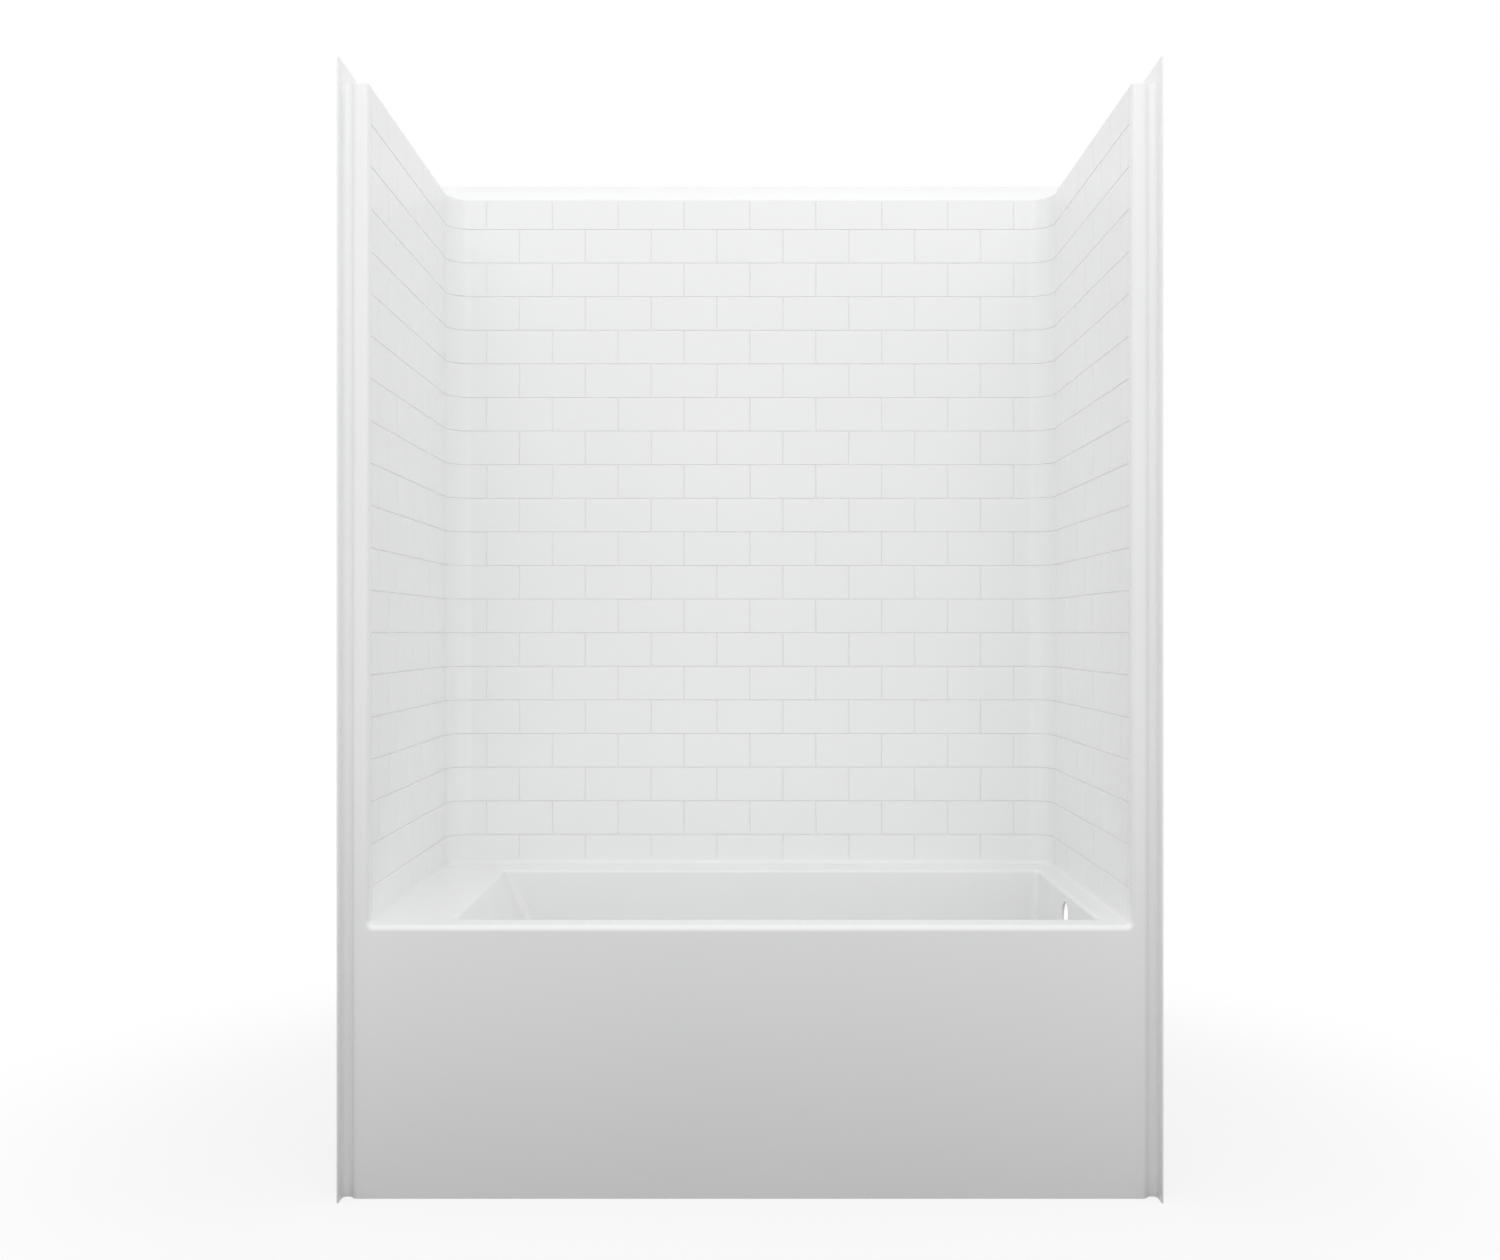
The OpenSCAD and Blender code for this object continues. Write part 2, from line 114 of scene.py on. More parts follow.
# The lowest level joint above the rim, and an upright joint from the back wall on each side
FIRST_JOINT_UP = 0.0674
SIDE_JOINT_START = 0.0715
# Plain strip in front of the side walls' last joint, and the length over which joints fade out
SIDE_PLAIN_W = 0.024
JOINT_FADE = 0.006

# Camera of the photograph, whose frame is 1500 by 1260 pixels
PHOTO_W = 1500
PHOTO_H = 1260
PHOTO_FOCAL_PX = 1555
PHOTO_HORIZON_PX = 632.9
CAMERA_PLACE = (0.0, -3.2885, 1.0516)
SENSOR_W = 36.0


def smooth_step(t):
    t = np.clip(t, 0, 1)
    return t * t * (3 - 2 * t)


class Skin:
    """The seen skin of one piece, gathered from patches, and closed with its back into a solid."""

    def __init__(self):
        self.points, self.normals, self.depths, self.faces = [], [], [], []

    def _add(self, points, normals, depths):
        start = len(self.points)
        self.points += [tuple(p) for p in points]
        self.normals += [tuple(n) for n in normals]
        self.depths += [float(d) for d in depths]
        return start

    def grid(self, points, normals, depth=SHELL_T):
        """A patch from rows of points. depth is the thickness behind it, one number or one a point."""
        rows, columns = points.shape[:2]
        depths = np.broadcast_to(depth, (rows, columns)).reshape(-1)
        start = self._add(points.reshape(-1, 3), normals.reshape(-1, 3), depths)
        for i in range(rows - 1):
            for j in range(columns - 1):
                a = start + i * columns + j
                self.faces.append((a, a + 1, a + columns + 1, a + columns))

    def fill(self, outline, normal, holes=(), depth=SHELL_T):
        """A flat patch inside an outline, less its holes. Each is an array of points in one plane."""
        loops = [np.asarray(loop, float) for loop in (outline, *holes)]
        normal = np.asarray(normal, float)
        along = loops[0][1] - loops[0][0]
        along /= np.linalg.norm(along)
        across = np.cross(normal, along)
        points = np.concatenate(loops)
        flat = [Vector((float(p @ along), float(p @ across))) for p in points]
        edges, start = [], 0
        for loop in loops:
            n = len(loop)
            edges += [(start + i, start + (i + 1) % n) for i in range(n)]
            start += n
        _, _, triangles, origins, _, _ = delaunay_2d_cdt(flat, edges, [], 1, NEAR)
        first = self._add(points, np.tile(normal, (len(points), 1)), [depth] * len(points))
        for triangle in triangles:
            corners = [origins[i][0] for i in triangle]
            middle = sum((flat[i] for i in corners), Vector((0, 0))) / 3
            if not any(inside(middle, [flat[i] for i in hole]) for hole in index_loops(loops)[1:]):
                self.faces.append(tuple(first + i for i in corners))

    def mirrored(self):
        """This skin and its mirror image across X = 0."""
        both = Skin()
        for sign in (1, -1):
            flip = np.array([sign, 1, 1])
            start = both._add(np.array(self.points) * flip, np.array(self.normals) * flip, self.depths)
            both.faces += [tuple(start + i for i in face) for face in self.faces]
        return both

    def build(self, name, seen_material, back_material):
        """The solid as an object. Its back takes the second material."""
        points, normals = np.array(self.points), np.array(self.normals)
        normals /= np.linalg.norm(normals, axis=1)[:, None]
        count = len(points)
        backs = points - normals * np.array(self.depths)[:, None]
        everything = np.concatenate([points, backs])
        cells = np.round(everything * WELD_CELLS).astype(np.int64)
        keys, same = np.unique(cells, axis=0, return_inverse=True)
        same = same.reshape(-1)
        places = np.zeros((len(keys), 3))
        places[same] = everything

        faces, corner_normals, slots = [], [], []

        def keep(corners, face_normals, slot):
            merged, kept = [], []
            for corner, normal in zip(corners, face_normals):
                at = int(same[corner])
                if at not in merged:
                    merged.append(at)
                    kept.append(normal)
            if len(merged) > 2:
                faces.append(merged)
                corner_normals.extend(kept)
                slots.append(slot)
            return len(merged) > 2

        ends = {}
        for face in self.faces:
            a, b, c = (points[face[k]] for k in (0, 1, 2))
            d = points[face[-1]]
            turned = np.cross(b - a, c - a) + np.cross(c - a, d - a)
            if turned @ normals[list(face)].sum(0) < 0:
                face = face[::-1]
            if not keep(face, normals[list(face)], 0):
                continue
            keep([i + count for i in face[::-1]], -normals[list(face[::-1])], 1)
            for i, j in zip(face, face[1:] + face[:1]):
                edge = (int(same[i]), int(same[j]))
                if edge[0] != edge[1]:
                    ends[edge] = (i, j)
        for (i, j), (front_i, front_j) in ends.items():
            if (j, i) in ends:
                continue
            rim = [front_j, front_i, front_i + count, front_j + count]
            a, b, c, d = (everything[k] for k in rim)
            normal = np.cross(c - a, d - b)
            size = np.linalg.norm(normal)
            if size > 0:
                keep(rim, [normal / size] * 4, 0)

        mesh = bpy.data.meshes.new(name)
        mesh.from_pydata([tuple(p) for p in places], [], faces)
        mesh.materials.append(seen_material)
        mesh.materials.append(back_material)
        mesh.polygons.foreach_set("material_index", slots)
        mesh.shade_smooth()
        mesh.normals_split_custom_set([tuple(n) for n in corner_normals])
        mesh.update()
        piece = bpy.data.objects.new(name, mesh)
        bpy.context.scene.collection.objects.link(piece)
        return piece


def index_loops(loops):
    """The indices of each loop's points once the loops are joined end to end."""
    starts = np.cumsum([0] + [len(loop) for loop in loops])
    return [range(a, b) for a, b in zip(starts[:-1], starts[1:])]


def inside(point, loop):
    """True where a flat point lies inside a loop of flat points."""
    odd = False
    for a, b in zip(loop, loop[1:] + loop[:1]):
        if (a.y > point.y) != (b.y > point.y):
            crossing = a.x + (point.y - a.y) * (b.x - a.x) / (b.y - a.y)
            if point.x < crossing:
                odd = not odd
    return odd


class Path:
    """A route in plan with, at each point, the level direction from the air into the material."""

    def __init__(self):
        self.at, self.into = [], []

    def line(self, start, end, into):
        for place in (start, end):
            self.at.append(tuple(place))
            self.into.append(into)
        return self

    def arc(self, centre, radius, start, end, steps, hollow):
        """Angles are in degrees. A hollow arc has its centre in the air, another in the material."""
        side = 1 if hollow else -1
        for angle in np.radians(np.linspace(start, end, steps + 1)):
            direction = (math.cos(angle), math.sin(angle))
            self.at.append((centre[0] + radius * direction[0], centre[1] + radius * direction[1]))
            self.into.append((side * direction[0], side * direction[1]))
        return self

    def arrays(self):
        return np.array(self.at), np.array(self.into)


def sweep(skin, path, inset, height, level, rise, depth=SHELL_T):
    """Sweeps a profile along a path. inset and height place the profile's points, and level and rise
    give its normal, away from the path's direction into the material and upwards."""
    at, into = path.arrays()
    inset, height, level, rise = (np.broadcast_to(v, (len(at), np.shape(height)[-1]))
                                  for v in (inset, height, level, rise))
    points = np.stack([at[:, 0, None] + into[:, 0, None] * inset,
                       at[:, 1, None] + into[:, 1, None] * inset, height], axis=2)
    normals = np.stack([-into[:, 0, None] * level, -into[:, 1, None] * level, rise], axis=2)
    skin.grid(points, normals, depth)


def upright(values, z):
    """Flat points at a height."""
    values = np.asarray(values, float)
    return np.column_stack([values, np.full(len(values), z)])


# Routes round the alcove
BACK_HALF = WALL_X - CORNER_R
CORNER_MIDDLE = (BACK_HALF, WALL_Y - CORNER_R)
CORNER_STEPS = 12


def corner_arc(path, side):
    """Adds the round corner on the right (side 1) or on the left (side -1), going to the left."""
    if side > 0:
        path.arc(CORNER_MIDDLE, CORNER_R, 0, 90, CORNER_STEPS, True)
    else:
        path.arc((-CORNER_MIDDLE[0], CORNER_MIDDLE[1]), CORNER_R, 90, 180, CORNER_STEPS, True)
    return path


def wall_route(front_y):
    """From the front of the right wall round the back to the front of the left wall."""
    path = Path().line((WALL_X, front_y), (WALL_X, CORNER_MIDDLE[1]), (1, 0))
    corner_arc(path, 1)
    path.line((BACK_HALF, WALL_Y), (-BACK_HALF, WALL_Y), (0, 1))
    corner_arc(path, -1)
    return path.line((-WALL_X, CORNER_MIDDLE[1]), (-WALL_X, front_y), (-1, 0))


# Tiled walls
JOINT_STOPS = np.array([-1, -2 / 3, -1 / 3, 0, 1 / 3, 2 / 3, 1]) * JOINT_HALF_W
WALL_LOW_Z = RIM_Z + COVE_R
WALL_TOP_Z = LEDGE_Z - TOP_EDGE_R
JOINT_COUNT = int((WALL_TOP_Z - RIM_Z - FIRST_JOINT_UP) / TILE_H) + 1
JOINT_Z = RIM_Z + FIRST_JOINT_UP + TILE_H * np.arange(JOINT_COUNT)
FADE_STOPS = np.array([0, 1 / 3, 2 / 3, 1]) * JOINT_FADE
WALL_STOPS_Z = np.unique(np.concatenate(
    [(JOINT_Z[:, None] + JOINT_STOPS).ravel(), WALL_LOW_Z + FADE_STOPS, WALL_TOP_Z - FADE_STOPS]))


def groove(distance):
    """Depth and slope of a joint at a signed distance from its middle."""
    t = np.clip(distance / JOINT_HALF_W, -1, 1)
    depth = JOINT_DEPTH * (1 + np.cos(math.pi * t)) / 2
    slope = -JOINT_DEPTH * math.pi / (2 * JOINT_HALF_W) * np.sin(math.pi * t)
    return depth, slope


def relief(u, z, even, odd, ending=None):
    """Depth of the tile pattern and its two slopes over a grid of places along a wall and heights.
    even and odd are the upright joints of the even and odd rows, and ending is the last joint."""
    u, z = np.meshgrid(u, z, indexing="ij")
    row = np.searchsorted(JOINT_Z, z)
    nearest = JOINT_Z[np.argmin(abs(z[..., None] - JOINT_Z), axis=-1)]
    depth, slope_z = groove(z - nearest)
    slope_u = np.zeros_like(depth)
    if ending is not None:
        depth, slope_z = (np.where(u > ending, 0, v) for v in (depth, slope_z))
    fade = smooth_step((z - WALL_LOW_Z) / JOINT_FADE) * smooth_step((WALL_TOP_Z - z) / JOINT_FADE)
    uprights = [(x, row % 2 == 0) for x in even] + [(x, row % 2 == 1) for x in odd]
    if ending is not None:
        uprights.append((ending, np.ones_like(row, bool)))
    for x, rows in uprights:
        here, slope = groove(u - x)
        here = here * fade * rows
        deeper = here > depth
        depth = np.where(deeper, here, depth)
        slope_u = np.where(deeper, slope * fade, slope_u)
        slope_z = np.where(deeper, 0, slope_z)
    return depth, slope_u, slope_z


def joint_row(start, low, high):
    """Places of upright joints, a tile's length apart, between two ends of a wall."""
    first = math.ceil((low + 2 * JOINT_HALF_W - start) / TILE_W)
    last = math.floor((high - 2 * JOINT_HALF_W - start) / TILE_W)
    return [start + k * TILE_W for k in range(first, last + 1)]


def wall_stops(low, high, joints):
    """Places along a wall, from its ends and the stops across each upright joint."""
    across = (np.array(joints)[:, None] + JOINT_STOPS).ravel()
    return np.unique(np.concatenate([[low, high], across]))


def wall_patch(skin, u, along, origin, into, depth, slope_u, slope_z):
    """A wall's patch. Its points lie at u along the wall from an origin in plan."""
    u, z = np.meshgrid(u, WALL_STOPS_Z, indexing="ij")
    along, into = np.array([*along, 0.0]), np.array([*into, 0.0])
    points = np.array([*origin, 0.0]) + u[..., None] * along + depth[..., None] * into
    points[..., 2] = z
    normals = slope_u[..., None] * along - into
    normals = normals + slope_z[..., None] * np.array([0, 0, 1.0])
    skin.grid(points, normals)


def side_wall():
    """The right wall. u runs from the back wall to the front."""
    low, high = CORNER_R, WALL_Y - RIM_Y
    ending = WALL_Y - FACE_Y - SIDE_PLAIN_W
    even = joint_row(SIDE_JOINT_START, low, ending)
    odd = joint_row(SIDE_JOINT_START + TILE_W / 2, low, ending)
    u = wall_stops(low, high, even + odd + [ending])
    skin = Skin()
    wall_patch(skin, u, (0, -1), (WALL_X, WALL_Y), (1, 0), *relief(u, WALL_STOPS_Z, even, odd, ending))
    return skin


def back_wall():
    even = joint_row(TILE_W / 2, -BACK_HALF, BACK_HALF)
    odd = joint_row(0, -BACK_HALF, BACK_HALF)
    u = wall_stops(-BACK_HALF, BACK_HALF, even + odd)
    skin = Skin()
    wall_patch(skin, u, (1, 0), (0, WALL_Y), (0, 1), *relief(u, WALL_STOPS_Z, even, odd))
    return skin


def wall_corner():
    """The right corner, with the level joints only."""
    depth, _, slope_z = relief([0.0], WALL_STOPS_Z, [], [])
    skin = Skin()
    sweep(skin, corner_arc(Path(), 1), depth, WALL_STOPS_Z, 1, slope_z)
    return skin


# Deck, with the hollow along the walls' feet
COVE_STEPS = 6


def deck_route():
    return wall_route(RIM_Y)


def cove_profile():
    turn = np.radians(np.linspace(0, 90, COVE_STEPS + 1))
    return -COVE_R * (1 - np.cos(turn)), RIM_Z + COVE_R * (1 - np.sin(turn)), np.cos(turn), np.sin(turn)


def deck():
    skin = Skin()
    sweep(skin, deck_route(), *cove_profile())
    at, into = deck_route().arrays()
    outline = without_doubles(at - into * COVE_R)
    skin.fill(upright(outline, RIM_Z), (0, 0, 1), [upright(mouth_outline(), RIM_Z)])
    return skin


def without_doubles(loop):
    """A loop's points without those that repeat the one before."""
    loop = np.asarray(loop)
    apart = np.linalg.norm(loop - np.roll(loop, 1, axis=0), axis=1) > NEAR
    return loop[apart]


# Basin
BASIN_CORNER_STEPS = 10
MOUTH_EDGE_STEPS = 6
FLOOR_ARC_STEPS = 10
BALL_Z = FLOOR_Z + FLOOR_R
HOLE_STEPS = 64
CORNERS = ((1, 0, -90), (1, 1, 0), (0, 1, 90), (0, 0, 180))


def basin_rays():
    """Round the basin: the level direction out, the lean, and the mouth's and the floor's centres."""
    rays = []
    for end, side, start in CORNERS:
        inward = np.array([1 - 2 * end, 1 - 2 * side])
        mouth = np.array([MOUTH_X[end], MOUTH_Y[side]]) + MOUTH_CORNER_R * inward
        ball = np.array([FLOOR_X[end], FLOOR_Y[side]])
        for angle in np.radians(np.linspace(start, start + 90, BASIN_CORNER_STEPS + 1)):
            out = np.array([math.cos(angle), math.sin(angle)])
            reach = out @ (mouth - ball) + MOUTH_CORNER_R
            rise = BASIN_TOP_Z - BALL_Z
            lean = math.acos(FLOOR_R / math.hypot(reach, rise)) - math.atan2(rise, reach)
            rays.append((out, lean, mouth, ball))
    return rays


def mouth_edge_middle(out, lean, mouth):
    """Middle, in plan, of the round edge between the deck and the basin's side."""
    up = RIM_Z - MOUTH_EDGE_R - BASIN_TOP_Z
    reach = MOUTH_CORNER_R + (up * math.sin(lean) + MOUTH_EDGE_R) / math.cos(lean)
    return mouth + out * reach


def mouth_outline():
    return np.array([mouth_edge_middle(out, lean, mouth) for out, lean, mouth, _ in basin_rays()])


def ring(centre, axis, radius):
    """Points of a hole's edge."""
    axis = Vector(axis).normalized()
    across = axis.orthogonal().normalized()
    other = axis.cross(across)
    turns = np.linspace(0, 2 * math.pi, HOLE_STEPS, endpoint=False)
    return [Vector(centre) + (across * math.cos(t) + other * math.sin(t)) * radius for t in turns]


def hole(mount, lift):
    """Edge of a mount's hole on the basin's inner face, which lies lift from the mount's middle."""
    axis = Vector(mount["axis"]).normalized()
    return ring(Vector(mount["pos_m"]) + axis * lift, axis, mount["dims"]["r_mm"] / 1000)


def basin():
    skin = Skin()
    rays = basin_rays()
    rays.append(rays[0])
    edge_points, edge_normals, side_points, side_normals = [], [], [], []
    floor_points, floor_normals = [], []
    for out, lean, mouth, ball in rays:
        middle = mouth_edge_middle(out, lean, mouth)
        turns = np.linspace(0, math.pi / 2 - lean, MOUTH_EDGE_STEPS + 1)
        normals = np.array([[*(-out * math.sin(t)), math.cos(t)] for t in turns])
        edge_normals.append(normals)
        edge_points.append(np.array([*middle, RIM_Z - MOUTH_EDGE_R]) + MOUTH_EDGE_R * normals)
        turns = np.linspace(lean, math.pi / 2, FLOOR_ARC_STEPS + 1)
        outward = np.array([[*(out * math.cos(t)), -math.sin(t)] for t in turns])
        floor_normals.append(-outward)
        floor_points.append(np.array([*ball, BALL_Z]) + FLOOR_R * outward)
        side_points.append(np.array([edge_points[-1][-1], floor_points[-1][0]]))
        side_normals.append(np.array([normals[-1], -outward[0]]))
    skin.grid(np.array(edge_points), np.array(edge_normals))
    skin.grid(np.array(floor_points), np.array(floor_normals))
    drain_end = BASIN_CORNER_STEPS
    side_points, side_normals = np.array(side_points), np.array(side_normals)
    skin.grid(side_points[:drain_end + 1], side_normals[:drain_end + 1])
    skin.grid(side_points[drain_end + 1:], side_normals[drain_end + 1:])
    near, far = side_points[drain_end], side_points[drain_end + 1]
    overflow = hole(MOUNTS["overflow_hole"], -SHELL_T / 2)
    skin.fill([near[0], far[0], far[1], near[1]], side_normals[drain_end][0], [overflow])
    corners = [(FLOOR_X[end], FLOOR_Y[side], FLOOR_Z) for end, side, _ in CORNERS]
    skin.fill(corners, (0, 0, 1), [hole(MOUNTS["drain_hole"], SHELL_T / 2)])
    return skin


# Front: apron, columns and the rolled edge of the opening
FLARE_STEPS = 8
HOLLOW_STEPS = 12
HOLLOW_EDGE_STEPS = 6
# Part of the flange's thickness that the hollow's back may reach into
ROOT_SHARE = 0.8
HOLLOW_MIDDLE = (FLANGE_X - HOLLOW_R, FACE_Y + HOLLOW_DEPTH - HOLLOW_R)
# Middle of the round edge where a column's face turns into the hollow
EDGE_GAP_Y = FACE_Y + HOLLOW_EDGE_R - HOLLOW_MIDDLE[1]
EDGE_GAP_X = math.sqrt((HOLLOW_R + HOLLOW_EDGE_R) ** 2 - EDGE_GAP_Y ** 2)
HOLLOW_EDGE_MIDDLE = (HOLLOW_MIDDLE[0] - EDGE_GAP_X, FACE_Y + HOLLOW_EDGE_R)
HOLLOW_EDGE_ANGLE = math.degrees(math.atan2(EDGE_GAP_Y, -EDGE_GAP_X))


def flange_root():
    """From the flange's inner face through the hollow to the flat of the right column."""
    path = Path().arc(HOLLOW_MIDDLE, HOLLOW_R, 0, HOLLOW_EDGE_ANGLE, HOLLOW_STEPS, True)
    start = HOLLOW_EDGE_ANGLE - 180
    return path.arc(HOLLOW_EDGE_MIDDLE, HOLLOW_EDGE_R, start, -90, HOLLOW_EDGE_STEPS, False)


def root_depths():
    """Thickness along flange_root, thinned where it meets the flange."""
    at, into = flange_root().arrays()
    room = (FLANGE_X + FLANGE_T * ROOT_SHARE - at[:, 0]) / np.maximum(into[:, 0], 1e-6)
    return np.where(into[:, 0] > 0, np.minimum(SHELL_T, room), SHELL_T)


def root_top_radii():
    """Radius of the top edge along flange_root. It fades out towards the flange."""
    part = np.linspace(0, 1, HOLLOW_STEPS + 1)
    fading = TOP_EDGE_R * part * smooth_step(part)
    return np.concatenate([fading, np.full(HOLLOW_EDGE_STEPS + 1, TOP_EDGE_R)])


def opening_contour():
    """Points, outward directions and roll radii round the front opening, from the right column's top
    along the rim to the middle, in X and Z."""
    middle = (WALL_X - COVE_R, RIM_Z + COVE_R)
    turns = np.linspace(0, math.pi / 2, COVE_STEPS + 1)
    around = [(math.cos(t), -math.sin(t)) for t in turns]
    points = [(WALL_X, WALL_TOP_Z)]
    points += [(middle[0] + COVE_R * x, middle[1] + COVE_R * z) for x, z in around]
    points.append((0, RIM_Z))
    outward = [(1, 0)] + around + [(0, -1)]
    blend = smooth_step(turns / turns[-1])
    radii = [COLUMN_EDGE_R] + list(COLUMN_EDGE_R + (ROLL_R - COLUMN_EDGE_R) * blend) + [ROLL_R]
    return np.array(points), np.array(outward, float), np.array(radii)


def front():
    half = Skin()
    points, outward, radii = opening_contour()
    turns = np.linspace(0, math.pi / 2, FLARE_STEPS + 1)
    rims, flares = np.full((len(points), 1), RIM_Y), FACE_Y + radii[:, None] * (1 - np.sin(turns))
    ys = np.concatenate([rims, flares], axis=1)
    offsets = np.concatenate([np.zeros_like(rims), radii[:, None] * (1 - np.cos(turns))], axis=1)
    turns = np.concatenate([[0], turns])
    level = np.broadcast_to(np.cos(turns), offsets.shape)
    patch = np.stack([points[:, 0, None] + outward[:, 0, None] * offsets, ys,
                      points[:, 1, None] + outward[:, 1, None] * offsets], axis=2)
    facing = np.stack([-outward[:, 0, None] * level, -np.broadcast_to(np.sin(turns), offsets.shape),
                       -outward[:, 1, None] * level], axis=2)
    half.grid(patch, facing)
    radii_top = root_top_radii()
    heights = np.stack([np.zeros_like(radii_top), LEDGE_Z - radii_top], axis=1)
    sweep(half, flange_root(), 0, heights, 1, 0, root_depths()[:, None])
    skin = half.mirrored()
    notch = points + outward * radii[:, None]
    right = [(HOLLOW_EDGE_MIDDLE[0], 0), (HOLLOW_EDGE_MIDDLE[0], WALL_TOP_Z)]
    right += [tuple(p) for p in notch[:-1]]
    outline = right + [(-x, z) for x, z in right[::-1]]
    skin.fill([(x, FACE_Y, z) for x, z in outline], (0, -1, 0))
    return skin


# Ledge, with the round top edge of the walls and columns
TOP_EDGE_STEPS = 5


def ledge():
    right = flange_root()
    edge_middle = (WALL_X + COLUMN_EDGE_R, FACE_Y + COLUMN_EDGE_R)
    right.arc(edge_middle, COLUMN_EDGE_R, -90, -180, FLARE_STEPS, False)
    right.line((WALL_X, RIM_Y), (WALL_X, CORNER_MIDDLE[1]), (1, 0))
    corner_arc(right, 1)
    at, into = right.arrays()
    radii = np.concatenate([root_top_radii(), np.full(len(at) - len(root_top_radii()), TOP_EDGE_R)])
    depths = np.concatenate([root_depths(), np.full(len(at) - len(root_depths()), SHELL_T)])
    flip = np.array([-1, 1])
    path = Path()
    path.at = list(at) + list(at[::-1] * flip)
    path.into = list(into) + list(into[::-1] * flip)
    radii = np.concatenate([radii, radii[::-1]])
    depths = np.concatenate([depths, depths[::-1]])
    turns = np.linspace(0, math.pi / 2, TOP_EDGE_STEPS + 1)
    skin = Skin()
    inset = radii[:, None] * (1 - np.cos(turns))
    height = LEDGE_Z - radii[:, None] * (1 - np.sin(turns))
    sweep(skin, path, inset, height, np.cos(turns), np.sin(turns), depths[:, None])
    at, into = path.arrays()
    inner = without_doubles(at + into * radii[:, None])
    outline = np.concatenate([inner, [(-FLANGE_X, FLANGE_Y), (FLANGE_X, FLANGE_Y)]])
    skin.fill(upright(outline, LEDGE_Z), (0, 0, 1))
    return skin


# Nailing flange, one thin sheet round the back and sides and down the front edges
FLANGE_CORNER_STEPS = 6


def nailing_flange():
    half = Skin()
    turn_y = FLANGE_Y - FLANGE_CORNER_R
    side = [(FLANGE_FRONT_Y, 0), (FLANGE_FOOT_Y, 0), (FLANGE_FOOT_Y, FLANGE_FOOT_Z),
            (turn_y, FLANGE_FOOT_Z), (turn_y, TOP_Z), (FLANGE_FRONT_Y, TOP_Z)]
    half.fill([(FLANGE_X, y, z) for y, z in side], (-1, 0, 0), depth=FLANGE_T)
    middle = (FLANGE_X - FLANGE_CORNER_R, turn_y)
    path = Path().arc(middle, FLANGE_CORNER_R, 0, 90, FLANGE_CORNER_STEPS, True)
    path.line((middle[0], FLANGE_Y), (0, FLANGE_Y), (0, 1))
    sweep(half, path, 0, np.array([FLANGE_FOOT_Z, TOP_Z]), 1, 0, FLANGE_T)
    return half.mirrored()


# Materials
class Nodes:
    """Short forms for building a material's nodes."""

    def __init__(self, name):
        self.material = bpy.data.materials.new(name)
        self.material.use_nodes = True
        self.tree = self.material.node_tree
        self.shader = self.tree.nodes["Principled BSDF"]
        self.place = self.add("ShaderNodeTexCoord").outputs["Object"]

    def add(self, kind, **settings):
        node = self.tree.nodes.new(kind)
        for key, value in settings.items():
            setattr(node, key, value)
        return node

    def link(self, output, socket):
        self.tree.links.new(output, socket)

    def mapped(self, scale, turn=(0, 0, 0)):
        node = self.add("ShaderNodeMapping")
        node.inputs["Scale"].default_value = scale
        node.inputs["Rotation"].default_value = turn
        self.link(self.place, node.inputs["Vector"])
        return node.outputs["Vector"]

    def noise(self, vector, scale, detail=2.0, roughness=0.5, distortion=0.0):
        node = self.add("ShaderNodeTexNoise")
        settings = {"Scale": scale, "Detail": detail, "Roughness": roughness, "Distortion": distortion}
        for key, value in settings.items():
            node.inputs[key].default_value = value
        self.link(vector, node.inputs["Vector"])
        return node.outputs["Fac"]

    def ramp(self, factor, *stops):
        """Each stop is a place from 0 to 1 and a grey or a colour."""
        node = self.add("ShaderNodeValToRGB")
        elements = node.color_ramp.elements
        while len(elements) < len(stops):
            elements.new(0.5)
        for element, (place, colour) in zip(elements, stops):
            element.position = place
            element.color = (*colour, 1) if isinstance(colour, tuple) else (colour, colour, colour, 1)
        self.link(factor, node.inputs["Fac"])
        return node.outputs["Color"]

    def math(self, operation, a, b=None):
        node = self.add("ShaderNodeMath", operation=operation)
        for socket, value in zip(node.inputs, (a, b)):
            if isinstance(value, (int, float)):
                socket.default_value = value
            elif value is not None:
                self.link(value, socket)
        return node.outputs[0]

    def mix(self, factor, a, b):
        node = self.add("ShaderNodeMix", data_type="RGBA")
        for key, value in (("Factor", factor), ("A", a), ("B", b)):
            socket = node.inputs[key]
            if isinstance(value, tuple):
                socket.default_value = (*value, 1)
            elif isinstance(value, (int, float)):
                socket.default_value = value
            else:
                self.link(value, socket)
        return node.outputs["Result"]

    def bump(self, height, strength, distance, under=None):
        node = self.add("ShaderNodeBump")
        node.inputs["Strength"].default_value = strength
        node.inputs["Distance"].default_value = distance
        self.link(height, node.inputs["Height"])
        if under is not None:
            self.link(under, node.inputs["Normal"])
        return node.outputs["Normal"]


def gelcoat():
    """Glossy white moulded face, whose colour drifts a little and whose gloss wavers."""
    n = Nodes("gelcoat")
    plain = n.mapped((1, 1, 1))
    n.link(n.ramp(n.noise(plain, 2.3, 3), (0.3, (0.937, 0.940, 0.942)), (0.7, (0.949, 0.951, 0.952))),
           n.shader.inputs["Base Color"])
    n.link(n.ramp(n.noise(plain, 9, 4), (0.3, 0.23), (0.7, 0.26)), n.shader.inputs["Roughness"])
    n.shader.inputs["IOR"].default_value = 1.5
    waves = n.bump(n.noise(plain, 5, 2), 0.10, 0.002)
    n.link(n.bump(n.noise(plain, 900, 2), 0.03, 0.0002, waves), n.shader.inputs["Normal"])
    return n.material


